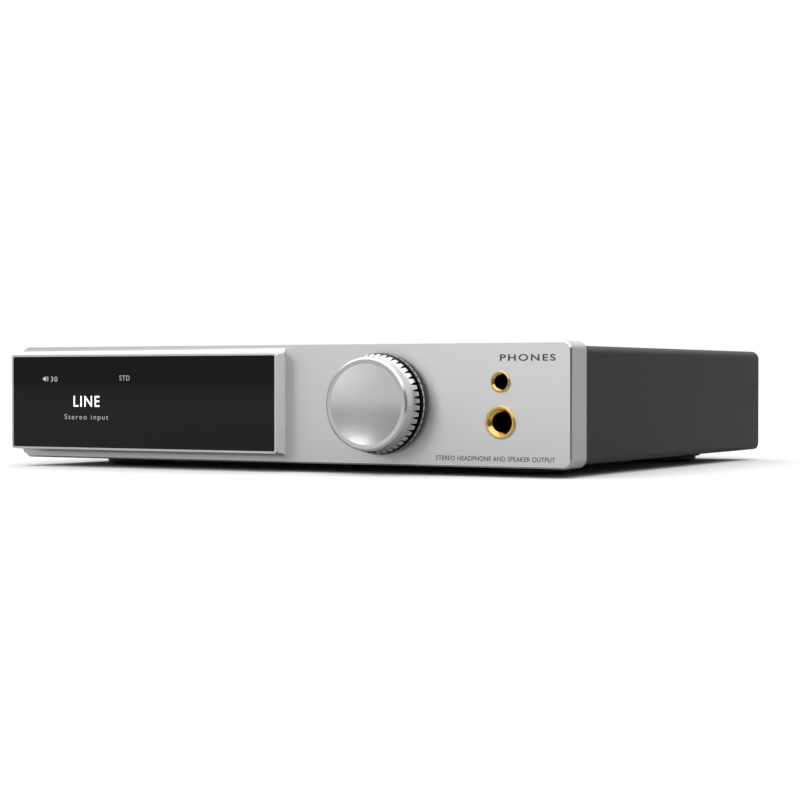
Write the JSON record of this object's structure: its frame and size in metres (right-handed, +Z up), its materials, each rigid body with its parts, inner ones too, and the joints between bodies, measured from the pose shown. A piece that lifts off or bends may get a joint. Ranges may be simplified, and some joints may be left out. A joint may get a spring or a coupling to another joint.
{
  "type": "headphone amplifier",
  "caption": "Low flat desktop headphone amplifier with a raised black display, a fluted turning volume knob, gold headphone sockets, a dark case on round feet and rear terminals.",
  "frame": {"origin": "on the surface that the feet stand on, at the middle of the whole outline seen from above", "axes": "+Z up, the front panel faces -Y, +X to the right of a person facing the panel"},
  "size_m": [0.2168, 0.2072, 0.043],
  "materials": {
    "black_glass": "gloss, back-printed black",
    "black_plastic": "moulded",
    "black_steel": "black oxide",
    "brass": "plain",
    "capacitor_sleeve": "printed sleeve",
    "case_black": "fine black powder coat",
    "chip_epoxy": "epoxy",
    "circuit_board": "solder mask",
    "display_metal": "pressed frame",
    "ferrite": "sintered ferrite",
    "foot_plastic": "moulded, satin",
    "gasket_foam": "adhesive foam",
    "gold_plate": "gold plated, polished",
    "heatsink_aluminium": "black anodised extrusion",
    "knob_metal": "turned and satin anodised, dished face spun bright",
    "lead_insulation": "silicone",
    "nickel_steel": "nickel plated",
    "pad_rubber": "soft rubber",
    "rca_insulator": "moulded, colour coded",
    "rear_black": "fine black powder coat with white marks",
    "ribbon_white": "flexible",
    "rocker_plastic": "moulded, marked on and off",
    "silver_anodised": "bead-blasted, clear anodised, polished edge",
    "terminal_black": "moulded",
    "terminal_red": "moulded",
    "winding_tape": "polyester tape"
  },
  "bodies": {
    "chassis": {"amplifier_chips": "chip_epoxy", "amplifier_heatsink": "heatsink_aluminium", "board_screws": "nickel_steel", "board_standoffs": "brass", "bottom_tray": "case_black", "control_board": "circuit_board", "cover_screws": "black_steel", "display_gasket": "gasket_foam", "display_glass": "black_glass", "display_module": "display_metal", "encoder_body": "black_plastic", "encoder_bushing": "nickel_steel", "encoder_nut": "nickel_steel", "foot_front_left": "foot_plastic", "foot_front_right": "foot_plastic", "foot_pads": "pad_rubber", "foot_rear_left": "foot_plastic", "foot_rear_right": "foot_plastic", "foot_screws": "nickel_steel", "front_panel": "silver_anodised", "headphone_board": "circuit_board", "inlet_blades": "nickel_steel", "jack_44_bushing": "gold_plate", "jack_44_housing": "black_plastic", "jack_635_bushing": "gold_plate", "jack_635_housing": "black_plastic", "main_board": "circuit_board", "mains_inlet": "black_plastic", "mains_leads": "lead_insulation", "output_inductors": "ferrite", "panel_screws": "nickel_steel", "power_capacitors": "capacitor_sleeve", "processor_chips": "chip_epoxy", "rca_bodies": "black_plastic", "rca_inserts": "rca_insulator", "rca_shells": "gold_plate", "rear_panel": "rear_black", "rear_screws": "black_steel", "ribbon_cable": "ribbon_white", "supply_board": "circuit_board", "switch_housing": "black_plastic", "terminal_base": "black_plastic", "terminal_posts": "gold_plate", "top_cover": "case_black", "transformer_core": "ferrite", "transformer_winding": "winding_tape", "usb_socket": "nickel_steel"},
    "encoder_plunger": {"encoder_plunger": "black_plastic"},
    "knob": {"encoder_shaft": "nickel_steel", "volume_knob": "knob_metal", "knob_set_screw": "black_steel"},
    "rocker": {"power_rocker": "rocker_plastic"},
    "washer_1": {"terminal_washer_1": "gold_plate"},
    "cap_1": {"terminal_cap_1": "terminal_red"},
    "washer_2": {"terminal_washer_2": "gold_plate"},
    "cap_2": {"terminal_cap_2": "terminal_black"},
    "washer_3": {"terminal_washer_3": "gold_plate"},
    "cap_3": {"terminal_cap_3": "terminal_red"},
    "washer_4": {"terminal_washer_4": "gold_plate"},
    "cap_4": {"terminal_cap_4": "terminal_black"}
  },
  "joints": [
    {"name": "knob_push", "type": "slide", "parent": "chassis", "child": "encoder_plunger", "axis": [0, 1, 0], "range_m": [0, 0.0005], "stiffness_N_per_m": 4000},
    {"name": "knob_turn", "type": "hinge", "parent": "encoder_plunger", "child": "knob", "pos_m": [0.0414, -0.0919, 0.023], "axis": [0, 1, 0], "continuous": true},
    {"name": "power_rocker_tip", "type": "hinge", "parent": "chassis", "child": "rocker", "pos_m": [-0.052, 0.0821, 0.023], "axis": [1, 0, 0], "range_deg": [0, 18]},
    {"name": "terminal_travel_1", "type": "slide", "parent": "chassis", "child": "washer_1", "axis": [0, 1, 0], "range_m": [0, 0.002]},
    {"name": "terminal_turn_1", "type": "hinge", "parent": "washer_1", "child": "cap_1", "pos_m": [0.03, 0.0881, 0.023], "axis": [0, 1, 0], "range_deg": [0, 720]},
    {"name": "terminal_travel_2", "type": "slide", "parent": "chassis", "child": "washer_2", "axis": [0, 1, 0], "range_m": [0, 0.002]},
    {"name": "terminal_turn_2", "type": "hinge", "parent": "washer_2", "child": "cap_2", "pos_m": [0.011, 0.0881, 0.023], "axis": [0, 1, 0], "range_deg": [0, 720]},
    {"name": "terminal_travel_3", "type": "slide", "parent": "chassis", "child": "washer_3", "axis": [0, 1, 0], "range_m": [0, 0.002]},
    {"name": "terminal_turn_3", "type": "hinge", "parent": "washer_3", "child": "cap_3", "pos_m": [-0.008, 0.0881, 0.023], "axis": [0, 1, 0], "range_deg": [0, 720]},
    {"name": "terminal_travel_4", "type": "slide", "parent": "chassis", "child": "washer_4", "axis": [0, 1, 0], "range_m": [0, 0.002]},
    {"name": "terminal_turn_4", "type": "hinge", "parent": "washer_4", "child": "cap_4", "pos_m": [-0.027, 0.0881, 0.023], "axis": [0, 1, 0], "range_deg": [0, 720]}
  ],
  "couplings": [
    {"joint": "terminal_turn_1", "follows": "terminal_travel_1", "rad_per_m": 6283.2},
    {"joint": "terminal_turn_2", "follows": "terminal_travel_2", "rad_per_m": 6283.2},
    {"joint": "terminal_turn_3", "follows": "terminal_travel_3", "rad_per_m": 6283.2},
    {"joint": "terminal_turn_4", "follows": "terminal_travel_4", "rad_per_m": 6283.2}
  ]
}
